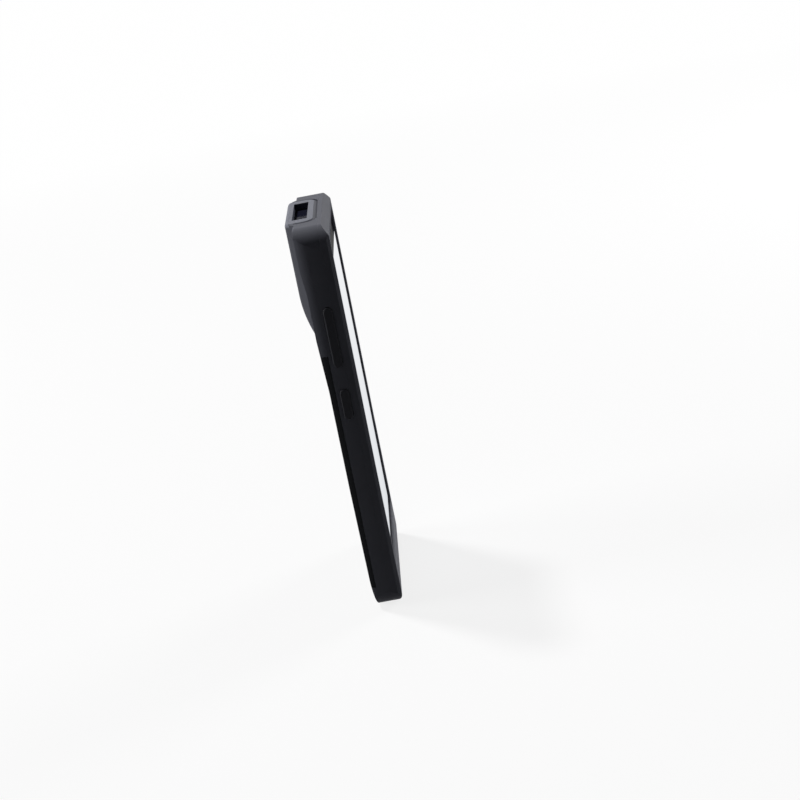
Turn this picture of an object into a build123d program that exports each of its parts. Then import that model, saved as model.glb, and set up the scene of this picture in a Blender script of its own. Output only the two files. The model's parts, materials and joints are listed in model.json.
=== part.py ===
from build123d import *
import os

os.makedirs("parts", exist_ok=True)

# A handheld barcode data terminal, standing on its bottom end.
# +Z runs up the handset, the screen faces -Y and the user's left hand is on the -X side.
# The origin is the middle of the data port's mouth, on the flat that the handset stands on.
# Every size is in millimetres.

# ---- driving dimensions ------------------------------------------------------------------
LENGTH = 162.9
WIDTH = 76.0
CORNER = 7.5                 # corner radius in the front view
CROWN_R = 34.0               # the side walls bulge a little between front and back
CROWN_Y = -1.0
LEAN_Y = 2.5                 # behind this depth the side walls lean in towards the back

RIM_Y = -6.8                 # front rim that stands proud of the glass
CHIN_Y = -7.05               # the same at the chin, which stands a little further out
SPLIT_Y = -2.9               # parting line between the front bezel and the rear housing
COVER_SPLIT_Y = 2.9          # parting line between the rear housing and the battery cover
LOW_BACK_Y = 5.0             # back just above the bottom end
BACK_Y = 5.4                 # back of the lower half
UPPER_BACK_Y = 6.3           # back of the upper half
SHOULDER_Y = 7.2             # back of the head beside the scanner pod
TOP_FLAT_Y = -4.3            # front of the top end's flat, where a slope runs down to the rim
TOP_SLOPE = 3.9              # how far down that slope reaches
BOTTOM_Y0 = -4.7             # the flat of the bottom end, front to back
BOTTOM_Y1 = 3.2
POD_Y = 10.45                # back of the scanner pod

WALL = 1.8                   # outer wall thickness
GAP = 0.15                   # visible seam between two pieces
HALF = WIDTH / 2

# Glass and display: a 5.5 inch panel, twice as long as it is wide.
SCREEN_DIAGONAL = 139.7
SCREEN_W = SCREEN_DIAGONAL / 5 ** 0.5
SCREEN_L = 2 * SCREEN_W
SCREEN_Z = 83.5              # centre of the lit area
PANEL_BORDER = 1.6           # dead border round the lit area
PANEL_FOOT = 1.9             # the same below it, where the panel's wires leave
GLASS_W = 68.0
GLASS_Z0 = 17.0
GLASS_Z1 = 156.0
GLASS_Y = -5.9               # front face of the glass
GLASS_T = 0.8
SEAL_T = 0.15
LEDGE_Y = GLASS_Y + GLASS_T + SEAL_T
GLASS_CORNER = 3.0
BAY_OPEN_W = 66.0            # opening in the front bezel behind the glass
BAY_OPEN_Z0 = 18.5
BAY_OPEN_Z1 = 150.9
EARPIECE_Z0 = 151.8          # slot in the glass for the earpiece
EARPIECE_Z1 = 153.4
EARPIECE_W = 13.0
SENSOR_HALF = 19.0           # opening in the bezel for the earpiece and the front camera
SENSOR_Z0 = 151.1             # row of the earpiece, the front camera and the status light
SENSOR_Z1 = 154.9
DISPLAY_T = 1.3
CHASSIS_T = 0.6

# Battery cover and battery
COVER_Z0 = 10.0
COVER_Z1 = 111.5
COVER_T = 1.3
BATTERY_W = 61.0
BATTERY_Z0 = 28.4
BATTERY_Z1 = 106.0
BATTERY_Y0 = -1.7
BATTERY_Y1 = 3.2
BAY_FLOOR_Y = -1.9
BAY_Z0 = 26.0
BAY_Z1 = 107.2
BAY_W = 62.0

# Side keys
KEY_Y = -0.45                # middle of the key row, front to back
KEY_W = 3.8
KEY_PROUD = 0.7
KEY_TRAVEL = 0.35
KEY_GAP = 0.12               # clearance round a key in its opening
FLANGE_T = 0.6
FLANGE_LIP = 0.4
SCAN_KEY_Z = 119.0
SCAN_KEY_L = 25.0
VOLUME_Z = 91.0
VOLUME_L = 13.0
POWER_Z = 92.5
POWER_L = 9.0
KEY_POCKET_X0 = 32.4         # inner side of the pocket behind the keys
KEY_POCKET_Y1 = 2.0
KEY_POCKET_Z0 = 80.0
KEY_POCKET_Z1 = 134.0
SWITCH_TIP_X = KEY_POCKET_X0 + 1.75
STEM_X = SWITCH_TIP_X + KEY_TRAVEL + 0.1
ROCKER_REACH = 4.2           # how far each of the rocker's stems stands from its pivot

# Scanner pod and its window in the top end
POD_HALF_BASE = 25.0
POD_HALF_BACK = 20.9
POD_BASE_Y = 6.8             # where the pod's sloping sides meet the shoulder
POD_EDGE_R = 3.0
POD_TOP_R = 1.2              # rounding round its top end
POD_ARC_Z = 133.5            # where the pod's back starts to curve down to the body
POD_ARC_R = 39.5
POD_TAIL_R = 9.0             # corners of the pod's lower end in the back view
FRAME_HALF = 22.8
FRAME_Y0 = -2.2
FRAME_SEAT_Z = LENGTH - 1.2
FRAME_SUNK = 0.6             # its flank starts this far below the top end
FRAME_PROUD = 0.2
FLANK_SLOPE = 61.0           # lean of the flank from upright, in degrees
FRAME_CORNER = 5.7
PLUG_HALF = 17.3
PLUG_Y0 = 0.1
PLUG_Y1 = 9.4
PLUG_Z0 = LENGTH - 3.6
OPENING_HALF = 16.0
OPENING_Y0 = 1.5
OPENING_Y1 = 7.6
SEAT_LIP = 0.5               # how far the scan window's seat reaches past the opening
SEAL_LIP = 0.2
WINDOW_T = 1.0
WINDOW_Z = LENGTH - 2.4      # outer face of the scan window

# Screws that hold the rear housing to the front bezel
SCREW_R = 1.0
SCREW_HEAD_R = 1.8
SCREW_HEAD_T = 1.2
SCREW_SEAT_Y = 1.6
SCREW_TIP_Y = -4.6
SCREW_X = 34.6
SCREW_ROWS = (16.0, 74.0)
TOP_SCREW_X = 29.5
TOP_SCREW_Z = 153.0

# Scanner behind the window, and the camera on the back of the pod
ENGINE_Z0 = LENGTH - 16.6
ENGINE_Z1 = LENGTH - 5.0
ENGINE_Y0 = 1.0
ENGINE_Y1 = 8.2
ENGINE_Y = (ENGINE_Y0 + ENGINE_Y1) / 2
ENGINE_HALF = 10.6
IMAGER_X = 3.4
IMAGER_R = 3.0
IMAGER_SEAT = 2.0            # depth of the imager's seat in the scanner's face
AIMER_X = -3.6
AIMER_R = 1.5
AIMER_SEAT = 1.4
LIGHT_X = (-8.2, 8.6)
LIGHT_HALF = 1.2
LIGHT_SEAT = 1.0
FIT = 0.05                   # clearance of a part in its seat
CAMERA_X = -7.0
CAMERA_Z = 139.0
CAMERA_WINDOW_R = 4.0
FLASH_X = 4.5
FLASH_R = 2.0

# Parts in the bottom end
PORT_Y = 0.0
PORT_W = 9.2
PORT_H = 3.4
SOCKET_Z1 = 7.0              # inner end of the port's socket
FOOT_DEEP_Y = 1.8            # back of the cavity round the socket
PAD_PITCH = 3.2
PAD_FIRST_X = 9.5
PAD_COUNT = 4
PAD_W = 1.7
PAD_H = 2.7
CONTACT_PITCH = 2.2          # blades between the battery and the main board
SPEAKER_X = 24.0
MICROPHONE_X = -25.0
MAIN_BOARD_Y = -1.95         # back face of the main board

# Latch on the battery cover (width, height and thickness of each portion)
LATCH_Z = 18.4
LATCH_TRAVEL = 2.4
LATCH_PAD_W = 13.0
LATCH_PAD_H = 5.6
LATCH_PAD_T = 0.8
LATCH_PAD_Y = 4.1
LATCH_NECK_W = 6.0
LATCH_NECK_H = 3.2
TONGUE_W = 11.0
TONGUE_Z0 = 10.6
TONGUE_Z1 = 20.4
TONGUE_Y0 = 1.8
TONGUE_Y1 = 2.7
LATCH_POCKET_Z0 = 7.9
LATCH_POCKET_Z1 = 20.8


# ---- small building blocks ---------------------------------------------------------------
def block(x0, x1, y0, y1, z0, z1):
    """A rectangular block between two corners."""
    centre = Pos((x0 + x1) / 2, (y0 + y1) / 2, (z0 + z1) / 2)
    return centre * Box(x1 - x0, y1 - y0, z1 - z0)


def plate(width, z0, z1, y0, y1, radius, x=0.0):
    """A plate facing the user, with rounded corners in the front view."""
    face = Pos(x, y1, (z0 + z1) / 2) * (Plane.XZ * RectangleRounded(width, z1 - z0, radius))
    return extrude(face, y1 - y0)


def rod_y(x, z, y0, y1, radius):
    """A round bar along Y."""
    return extrude(Pos(x, y1, z) * (Plane.XZ * Circle(radius)), y1 - y0)


def rod_z(x, y, z0, z1, radius, sides=24):
    """A bar along Z, round enough for a small inner part."""
    return extrude(Pos(x, y, z0) * RegularPolygon(radius, sides), z1 - z0)


def fine_rod_y(x, z, y0, y1, radius, sides=12):
    """A bar along Y of a small fastener's size, drawn with flat sides."""
    return extrude(Pos(x, y1, z) * (Plane.XZ * RegularPolygon(radius, sides)), y1 - y0)


def stadium_x(x0, x1, y, z, width, length):
    """A bar along X whose section is a slot standing along Z."""
    face = Rot(0, 0, 90) * SlotOverall(length, width)
    return extrude(Plane.YZ.offset(x0) * (Pos(y, z) * face), x1 - x0)


def across_width(curve):
    """Extrude a closed side-view outline (Y, Z) over the whole width."""
    return extrude(Plane.YZ * make_face(curve), WIDTH, both=True)


def along_length(curve, z0, z1):
    """Extrude a closed section (X, Y) from one height to another."""
    return extrude(Pos(0, 0, z0) * make_face(curve), z1 - z0)


def both_sides(shape):
    """A shape and its mirror image on the other side of the handset."""
    return shape + mirror(shape, about=Plane.YZ)


# ---- outer form --------------------------------------------------------------------------
def half_width(y):
    """Half the body's width at one depth."""
    return HALF - CROWN_R + (CROWN_R ** 2 - (y - CROWN_Y) ** 2) ** 0.5


def cross_section():
    """The body's section: side walls that bulge a little and lean in towards the back."""
    rear = half_width(LEAN_Y)
    back = rear - 1.9
    front = half_width(-5.5)
    rim = front - 1.4
    section = Line((-back, 7.6), (back, 7.6))
    section += ThreePointArc((back, 7.6), (rear - 0.55, 5.2), (rear, LEAN_Y))
    section += ThreePointArc((rear, LEAN_Y), (HALF, CROWN_Y), (front, -5.5))
    section += Polyline((front, -5.5), (rim, CHIN_Y), (-rim, CHIN_Y), (-front, -5.5))
    section += ThreePointArc((-front, -5.5), (-HALF, CROWN_Y), (-rear, LEAN_Y))
    return section + ThreePointArc((-rear, LEAN_Y), (0.55 - rear, 5.2), (-back, 7.6))


def lower_body():
    """The slab: a rounded front outline cut by the side view and by the cross-section."""
    outline = plate(WIDTH, 0, LENGTH, CHIN_Y - 1, SHOULDER_Y, CORNER)
    side = Line((BOTTOM_Y0, 0), (BOTTOM_Y1, 0))
    side += ThreePointArc((BOTTOM_Y1, 0), (4.4, 6.0), (LOW_BACK_Y, 14))
    side += Polyline((LOW_BACK_Y, 14), (BACK_Y, 55), (BACK_Y, 97), (UPPER_BACK_Y, 118))
    side += Polyline((UPPER_BACK_Y, 118), (UPPER_BACK_Y, LENGTH), (TOP_FLAT_Y, LENGTH))
    side += Polyline((TOP_FLAT_Y, LENGTH), (RIM_Y, LENGTH - TOP_SLOPE), (RIM_Y, 60), (CHIN_Y, 4.2))
    side += ThreePointArc((CHIN_Y, 4.2), (-6.2, 1.75), (BOTTOM_Y0, 0))
    return outline & across_width(side) & along_length(cross_section(), 0, LENGTH)


def head_shoulder():
    """The thicker head: its back edge runs out along the sides in a long S."""
    side = Polyline((SPLIT_Y, 106), (SPLIT_Y, LENGTH), (SHOULDER_Y, LENGTH), (SHOULDER_Y, 149.5))
    side += Spline(
        (SHOULDER_Y, 149.5), (5.95, 135.5), (4.75, 127), (3.75, 118.5), (3.3, 106),
        tangents=((0, -1), (0, -1)),
    )
    side += Line((3.3, 106), (SPLIT_Y, 106))
    top = across_width(Polyline(
        (SPLIT_Y, 100), (SPLIT_Y, LENGTH), (6.5, LENGTH), (SHOULDER_Y, LENGTH - 0.8), (SHOULDER_Y, 100),
        close=True,
    ))
    outline = plate(WIDTH, 100, LENGTH, SPLIT_Y, SHOULDER_Y, CORNER)
    return across_width(side) & outline & top & along_length(cross_section(), 100, LENGTH)


def scanner_pod(top_z):
    """The scanner's hump on the upper back, sloping at the sides and curving away below."""
    centre_y = POD_Y - POD_ARC_R
    foot_y = 5.0
    foot_z = POD_ARC_Z - (POD_ARC_R ** 2 - (foot_y - centre_y) ** 2) ** 0.5
    bend_z = (POD_ARC_Z + foot_z) / 2
    bend_y = centre_y + (POD_ARC_R ** 2 - (POD_ARC_Z - bend_z) ** 2) ** 0.5
    side = Polyline((2.0, foot_z), (2.0, top_z), (POD_Y, top_z), (POD_Y, POD_ARC_Z))
    side += ThreePointArc((POD_Y, POD_ARC_Z), (bend_y, bend_z), (foot_y, foot_z))
    side += Line((foot_y, foot_z), (2.0, foot_z))
    section = Polyline(
        (POD_HALF_BASE, 2.0), (POD_HALF_BASE, POD_BASE_Y), (POD_HALF_BACK, POD_Y),
        (-POD_HALF_BACK, POD_Y), (-POD_HALF_BASE, POD_BASE_Y), (-POD_HALF_BASE, 2.0),
        close=True,
    )
    rounded = plate(2 * POD_HALF_BASE, foot_z, LENGTH + 20, 0, POD_Y + 1, POD_TAIL_R)
    pod = across_width(side) & along_length(section, 100, top_z) & rounded
    side_edges = [line for line in pod.edges() if line.center().Y > 9.5 and abs(line.center().X) > 20]
    return fillet([line for line in side_edges if line.length > 10], POD_EDGE_R)


def outer_form():
    """The whole outer surface of the closed handset."""
    return lower_body() + head_shoulder() + scanner_pod(LENGTH)


FORM = outer_form()


def slice_y(y0, y1):
    """The outer form between two depths."""
    return FORM & block(-HALF - 5, HALF + 5, y0, y1, -5, LENGTH + 5)


def screw_places():
    """Where each screw stands, as (x, z)."""
    places = []
    for side in (-1, 1):
        for z in SCREW_ROWS:
            places.append((side * SCREW_X, z))
        places.append((side * TOP_SCREW_X, TOP_SCREW_Z))
    return places


# ---- front: bezel, glass, display --------------------------------------------------------
def front_bezel():
    """The front frame. Its rim stands proud of the glass all round."""
    bezel = slice_y(CHIN_Y - 1, SPLIT_Y)
    bezel -= plate(GLASS_W + 2 * GAP, GLASS_Z0 - GAP, GLASS_Z1 + GAP, CHIN_Y - 1, LEDGE_Y, GLASS_CORNER + GAP)
    lip = 0.4
    mouth = Plane.XZ.offset(-RIM_Y - lip) * Pos(0, (GLASS_Z0 + GLASS_Z1) / 2)
    mouth *= RectangleRounded(GLASS_W + 2 * GAP, GLASS_Z1 - GLASS_Z0 + 2 * GAP, GLASS_CORNER + GAP)
    bezel -= extrude(mouth, 3 * lip, taper=-45)
    half = BAY_OPEN_W / 2
    bezel -= block(-half, half, LEDGE_Y - 1, SPLIT_Y + 1, BAY_OPEN_Z0, BAY_OPEN_Z1)
    bezel -= block(-SENSOR_HALF, SENSOR_HALF, LEDGE_Y - 1, SPLIT_Y + 1, BAY_OPEN_Z1 - 1, SENSOR_Z1)
    for x, z in screw_places():
        bezel -= fine_rod_y(x, z, SCREW_TIP_Y, SPLIT_Y + 1, SCREW_R + 0.02, 8)
    return bezel


def cover_glass():
    """The toughened front glass, with a slot for the earpiece and softened edges."""
    glass = plate(GLASS_W, GLASS_Z0, GLASS_Z1, GLASS_Y, GLASS_Y + GLASS_T, GLASS_CORNER)
    glass = chamfer(glass.faces().sort_by(Axis.Y)[0].edges(), 0.2)
    return glass - plate(EARPIECE_W, EARPIECE_Z0, EARPIECE_Z1, GLASS_Y - 1, GLASS_Y + GLASS_T + 1, 0.75)


def glass_seal():
    """The adhesive seal that holds the glass to the ledge of the bezel."""
    y0 = GLASS_Y + GLASS_T
    ring = plate(GLASS_W, GLASS_Z0, GLASS_Z1, y0, LEDGE_Y, GLASS_CORNER)
    ring -= block(-BAY_OPEN_W / 2, BAY_OPEN_W / 2, y0 - 1, LEDGE_Y + 1, BAY_OPEN_Z0, BAY_OPEN_Z1)
    return ring - block(-SENSOR_HALF, SENSOR_HALF, y0 - 1, LEDGE_Y + 1, BAY_OPEN_Z1 - 1, SENSOR_Z1)


def display_panel():
    """The display module bonded behind the glass: the lit area and its dead border."""
    y0 = GLASS_Y + GLASS_T
    z0 = SCREEN_Z - SCREEN_L / 2 - PANEL_FOOT
    z1 = SCREEN_Z + SCREEN_L / 2 + PANEL_BORDER
    half = SCREEN_W / 2 + PANEL_BORDER
    return block(-half, half, y0, y0 + DISPLAY_T, z0, z1)


def chassis_plate():
    """The pressed metal plate behind the display, with lightening holes."""
    y1 = SPLIT_Y - FIT
    half = BAY_OPEN_W / 2 - 0.2
    chassis = block(-half, half, y1 - CHASSIS_T, y1, BAY_OPEN_Z0 + 0.2, BAY_OPEN_Z1 - 0.2)
    for side in (-1, 1):
        for z in (32.0, 62.0, 92.0):
            chassis -= block(side * 17.0 - 9, side * 17.0 + 9, y1 - 2, y1 + 1, z - 6, z + 6)
    return chassis


def earpiece_mesh():
    """The fine mesh in the earpiece slot."""
    edge = 0.1
    hole = 0.3
    mid_z = (EARPIECE_Z0 + EARPIECE_Z1) / 2
    y1 = GLASS_Y + GLASS_T
    mesh = plate(EARPIECE_W - 2 * edge, EARPIECE_Z0 + edge, EARPIECE_Z1 - edge, GLASS_Y + 0.25, y1, 0.65)
    for step in range(-4, 5):
        x = step * 1.3
        mesh -= block(x - hole, x + hole, GLASS_Y - 1, y1 + 1, mid_z - hole, mid_z + hole)
    return mesh


def receiver():
    """The earpiece speaker behind the mesh."""
    return block(-6.0, 6.0, GLASS_Y + GLASS_T, SPLIT_Y - 0.2, SENSOR_Z0, SENSOR_Z1 - 0.4)


def front_camera():
    """The front camera: a square module with a round barrel."""
    camera = block(-16.5, -11.5, -4.4, -3.1, SENSOR_Z0, SENSOR_Z1 - 0.2)
    return camera + rod_y(-14.0, SENSOR_Z0 + 1.8, GLASS_Y + GLASS_T + FIT, -4.4, 1.6)


def status_light():
    """The light guide of the charging and notification light."""
    foot = block(11.6, 14.4, -3.6, -3.0, SENSOR_Z0 + 0.4, SENSOR_Z0 + 3.0)
    return foot + rod_y(13.0, SENSOR_Z0 + 1.7, GLASS_Y + GLASS_T + FIT, -3.6, 0.9)


# ---- rear housing ------------------------------------------------------------------------
def key_opening(side, z, length):
    """The opening for one side key, right through the side wall."""
    x0 = side * (HALF - WALL - 1.0)
    x1 = side * (HALF + 2.0)
    return stadium_x(min(x0, x1), max(x0, x1), KEY_Y, z, KEY_W + 2 * KEY_GAP, length + 2 * KEY_GAP)


def key_pocket(side, z0, z1):
    """The space behind the side keys, open towards the front."""
    x0 = side * KEY_POCKET_X0
    x1 = side * (HALF - WALL)
    return block(min(x0, x1), max(x0, x1), SPLIT_Y - 1, KEY_POCKET_Y1, z0, z1)


def frame_face(grow, z):
    """The window frame's outline in the top view, open past the back of the pod, at one height."""
    y0 = FRAME_Y0 - grow
    y1 = POD_Y + 2 * FRAME_CORNER
    return Pos(0, (y0 + y1) / 2, z) * RectangleRounded(2 * (FRAME_HALF + grow), y1 - y0, FRAME_CORNER)


def rear_housing():
    """The moulded back: side walls, battery bay, scanner pod, key pockets and bottom end."""
    shell = slice_y(SPLIT_Y, POD_Y + 1)
    # the region that the battery cover closes
    shell -= block(-HALF - 1, HALF + 1, COVER_SPLIT_Y, POD_Y, COVER_Z0 - GAP, COVER_Z1 + GAP)
    # battery bay, open to the back
    shell -= plate(BAY_W, BAY_Z0, BAY_Z1, BAY_FLOOR_Y, POD_Y, 2.0)
    # upper cavity for the main board and the scanner
    shell -= plate(WIDTH - 4.4, 113.2, LENGTH - 2, SPLIT_Y - 1, 4.5, CORNER - 2.2)
    shell -= block(-18.0, 18.0, 4.0, 8.8, 135.0, PLUG_Z0 - 0.8)
    shell -= block(-PLUG_HALF, PLUG_HALF, PLUG_Y0, PLUG_Y1, PLUG_Z0 - 1.4, LENGTH)
    shell -= extrude(frame_face(GAP, FRAME_SEAT_Z), 2 * (LENGTH - FRAME_SEAT_Z))
    # cavity in the bottom end for the small board, the port and the loudspeaker
    shell -= plate(WIDTH - 5.0, 1.9, 19.6, SPLIT_Y - 1, 0.9, 4.0)
    shell -= block(-28.0, SPEAKER_X + 6.0, 0, FOOT_DEEP_Y, 1.9, SOCKET_Z1 + 0.2)
    # side keys
    for side in (-1, 1):
        shell -= key_pocket(side, KEY_POCKET_Z0, KEY_POCKET_Z1)
        shell -= key_opening(side, SCAN_KEY_Z, SCAN_KEY_L)
    shell -= key_opening(-1, VOLUME_Z, VOLUME_L)
    shell -= key_opening(1, POWER_Z, POWER_L)
    # charging and data port, dock contacts and loudspeaker slots in the bottom face
    shell -= port_opening()
    half_w = PAD_W / 2 + 0.1
    half_h = PAD_H / 2 + 0.1
    for x in pad_places():
        shell -= block(x - half_w, x + half_w, PORT_Y - half_h, PORT_Y + half_h, -1, 3)
    for step in range(-2, 3):
        x = SPEAKER_X + step * 2.2
        shell -= block(x - 0.5, x + 0.5, PORT_Y - 1.3, PORT_Y + 1.3, -1, 3)
    shell -= rod_z(MICROPHONE_X, PORT_Y, -1, 3, 0.55, 8)
    # battery contacts through the top wall of the bay
    shell -= block(-6.2, 6.2, SPLIT_Y - 1, 1.2, BAY_Z1 - 1, 114.0)
    # pocket for the cover latch, which reaches under the bottom edge
    pocket_half = TONGUE_W / 2 + 0.3
    pocket_y0 = TONGUE_Y0 - 0.2
    shell -= block(-pocket_half, pocket_half, pocket_y0, COVER_SPLIT_Y, LATCH_POCKET_Z0, LATCH_POCKET_Z1)
    # channel for the flat cable under the battery bay
    shell -= block(19.7, 27.3, SPLIT_Y - 1, SPLIT_Y + 0.3, 11.0, 118.0)
    # camera window and flash in the back of the pod
    shell -= rod_y(CAMERA_X, CAMERA_Z, 8.0, POD_Y + 1, CAMERA_WINDOW_R + 0.1)
    shell -= rod_y(FLASH_X, CAMERA_Z, 8.0, POD_Y + 1, FLASH_R + 0.1)
    # screws
    for x, z in screw_places():
        shell -= fine_rod_y(x, z, SPLIT_Y - 1, POD_Y, SCREW_R + 0.05, 8)
        shell -= fine_rod_y(x, z, SCREW_SEAT_Y, POD_Y, SCREW_HEAD_R + 0.1)
    return shell


def top_screw_boss(side):
    """The post inside the head that a top screw passes through."""
    post = fine_rod_y(side * TOP_SCREW_X, TOP_SCREW_Z, SPLIT_Y, 4.6, 2.8)
    post -= fine_rod_y(side * TOP_SCREW_X, TOP_SCREW_Z, SPLIT_Y - 1, 5, SCREW_R + 0.05, 8)
    return post - fine_rod_y(side * TOP_SCREW_X, TOP_SCREW_Z, SCREW_SEAT_Y, 5, SCREW_HEAD_R + 0.1)


def port_opening():
    """The port's opening in the bottom face."""
    face = Pos(0, PORT_Y, -1) * SlotOverall(PORT_W, PORT_H)
    return extrude(face, 4)


def pad_places():
    """Where the dock contacts stand across the bottom face."""
    places = []
    for side in (-1, 1):
        for step in range(PAD_COUNT // 2):
            places.append(side * (PAD_FIRST_X + step * PAD_PITCH))
    return places


def opening_block(grow, z0, z1):
    """The scan window's opening, grown all round, between two heights."""
    half = OPENING_HALF + grow
    return block(-half, half, OPENING_Y0 - grow, OPENING_Y1 + grow, z0, z1)


def frame_crown():
    """The frame's raised part: sloping flanks in front and at the sides, the pod's own outline behind."""
    top_z = LENGTH + FRAME_PROUD
    flanks = extrude(frame_face(0, LENGTH - FRAME_SUNK), FRAME_SUNK + FRAME_PROUD, taper=FLANK_SLOPE)
    pod = scanner_pod(top_z)
    top_edges = [line for line in pod.edges() if line.center().Z > top_z - 0.1]
    pod = fillet([line for line in top_edges if line.center().Y > POD_BASE_Y + 0.1], POD_TOP_R)
    return flanks & (pod + block(-HALF, HALF, FRAME_Y0 - 1, POD_BASE_Y - 1, LENGTH - 2, top_z))


def window_frame():
    """The light frame of the scan window: a lid over the pod's top end with a plug below it."""
    frame = FORM & extrude(frame_face(0, FRAME_SEAT_Z + FIT), LENGTH - FRAME_SUNK - FRAME_SEAT_Z - FIT)
    frame += frame_crown()
    plug_half = PLUG_HALF - GAP
    frame += block(-plug_half, plug_half, PLUG_Y0 + GAP, PLUG_Y1 - GAP, PLUG_Z0, FRAME_SEAT_Z + 0.5)
    frame -= opening_block(0, PLUG_Z0 - 1, LENGTH + 2)
    return frame - opening_block(SEAT_LIP, PLUG_Z0 - 1, WINDOW_Z)


def scan_window():
    """The dark tinted window, seated in the frame from below."""
    return opening_block(SEAT_LIP - FIT, WINDOW_Z - WINDOW_T, WINDOW_Z - SEAL_T)


def window_seal():
    """The thin seal round the scan window."""
    ring = opening_block(SEAL_LIP, WINDOW_Z - SEAL_T, WINDOW_Z)
    return ring - opening_block(0, WINDOW_Z - SEAL_T - 1, WINDOW_Z + 1)


# ---- scanner -----------------------------------------------------------------------------
def scan_engine():
    """The imager's housing, with seats for its lenses in the face under the window."""
    engine = block(-ENGINE_HALF, ENGINE_HALF, ENGINE_Y0, ENGINE_Y1, ENGINE_Z0, ENGINE_Z1)
    engine = chamfer(engine.edges().filter_by(Axis.Z), 0.5)
    engine -= rod_z(IMAGER_X, ENGINE_Y, ENGINE_Z1 - IMAGER_SEAT, ENGINE_Z1 + 1, IMAGER_R + FIT)
    engine -= rod_z(AIMER_X, ENGINE_Y, ENGINE_Z1 - AIMER_SEAT, ENGINE_Z1 + 1, AIMER_R + FIT)
    half = LIGHT_HALF + FIT
    seat_z = ENGINE_Z1 - LIGHT_SEAT
    for x in LIGHT_X:
        engine -= block(x - half, x + half, ENGINE_Y - half, ENGINE_Y + half, seat_z, ENGINE_Z1 + 1)
    return engine


def imager_lens():
    """The imager's lens barrel, which stands a little proud of the scanner's face."""
    return rod_z(IMAGER_X, ENGINE_Y, ENGINE_Z1 - IMAGER_SEAT, ENGINE_Z1 + 0.6, IMAGER_R)


def aimer_lens():
    """The lens of the aiming light."""
    return rod_z(AIMER_X, ENGINE_Y, ENGINE_Z1 - AIMER_SEAT, ENGINE_Z1 + 0.4, AIMER_R)


def illumination_leds():
    """The two square lights beside the imager."""
    half = LIGHT_HALF
    y0 = ENGINE_Y - half
    y1 = ENGINE_Y + half
    lights = [block(x - half, x + half, y0, y1, ENGINE_Z1 - LIGHT_SEAT, ENGINE_Z1 + 0.2) for x in LIGHT_X]
    return lights[0] + lights[1]


def engine_bracket():
    """The folded bracket that carries the scanner between two ears."""
    bracket = block(-15.0, 15.0, 0.4, 0.9, ENGINE_Z0 - 1.4, ENGINE_Z1 - 0.4)
    for side in (-1, 1):
        x0 = side * (ENGINE_HALF + 0.15)
        x1 = side * (ENGINE_HALF + 0.65)
        bracket += block(min(x0, x1), max(x0, x1), 0.9, 6.5, ENGINE_Z0 + 0.6, ENGINE_Z1 - 1.0)
    return bracket


def rear_camera():
    """The rear camera module under its window."""
    half = 3.8
    camera = block(CAMERA_X - half, CAMERA_X + half, 4.4, 7.4, CAMERA_Z - half, CAMERA_Z + half)
    return camera + rod_y(CAMERA_X, CAMERA_Z, 7.4, 9.0, 3.1)


def camera_window():
    """The round window over the rear camera."""
    window = rod_y(CAMERA_X, CAMERA_Z, 9.2, POD_Y - 0.2, CAMERA_WINDOW_R)
    return chamfer(window.faces().sort_by(Axis.Y)[-1].edges(), 0.15)


def flash_lens():
    """The lens of the camera light."""
    window = rod_y(FLASH_X, CAMERA_Z, 8.6, POD_Y - 0.2, FLASH_R)
    return chamfer(window.faces().sort_by(Axis.Y)[-1].edges(), 0.15)


# ---- electronics -------------------------------------------------------------------------
def main_board():
    """The main circuit board in the head."""
    board = block(-32.0, 32.0, MAIN_BOARD_Y - 0.8, MAIN_BOARD_Y, 115.0, 156.5)
    for side in (-1, 1):
        x = side * TOP_SCREW_X
        board -= block(x - 3.0, x + 3.0, -4, 0, TOP_SCREW_Z - 3.0, LENGTH)
    return board


def shield_cans():
    """Pressed shields over the processor and the radio."""
    cpu_can = block(-30.0, -4.0, MAIN_BOARD_Y, -0.2, 117.0, 139.0)
    return cpu_can + block(1.0, 22.5, MAIN_BOARD_Y, -0.2, 117.0, 136.0)


def sub_board():
    """The small board that carries the port and the contacts."""
    return block(-30.0, 30.0, -2.75, -2.05, 9.6, 19.0)


def usb_socket():
    """The charging and data socket: a drawn shell with its tongue."""
    mouth_z = 0.35
    wall = 0.3
    inside_w = 8.34
    inside_h = 2.56
    place = Pos(0, PORT_Y, mouth_z)
    socket = extrude(place * SlotOverall(inside_w + 2 * wall, inside_h + 2 * wall), SOCKET_Z1 - mouth_z)
    socket -= extrude(place * SlotOverall(inside_w, inside_h), SOCKET_Z1 - mouth_z - 1.0)
    return socket + block(-3.3, 3.3, PORT_Y - 0.35, PORT_Y + 0.35, 1.4, SOCKET_Z1 - 0.5)


def dock_contacts():
    """The gold-plated charging contacts in the bottom face."""
    contacts = None
    for x in pad_places():
        pad = block(x - PAD_W / 2, x + PAD_W / 2, PORT_Y - PAD_H / 2, PORT_Y + PAD_H / 2, 0.15, 1.9)
        pad += block(x - 0.4, x + 0.4, PORT_Y - 0.3, PORT_Y + 0.3, 1.9, 4.5)
        contacts = pad if contacts is None else contacts + pad
    return contacts


def loudspeaker():
    """The loudspeaker box behind the slots in the bottom end."""
    return block(SPEAKER_X - 7.5, SPEAKER_X + 5.5, -2.6, 0.7, 3.2, 9.2)


def microphone():
    """The main microphone behind its hole."""
    return block(MICROPHONE_X - 1.9, MICROPHONE_X + 1.9, -2.0, 1.4, 2.1, 4.8)


def vibration_motor():
    """The coin motor that buzzes the handset."""
    return fine_rod_y(27.6, 124.0, MAIN_BOARD_Y, 0.9, 4.1, 24)


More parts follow.
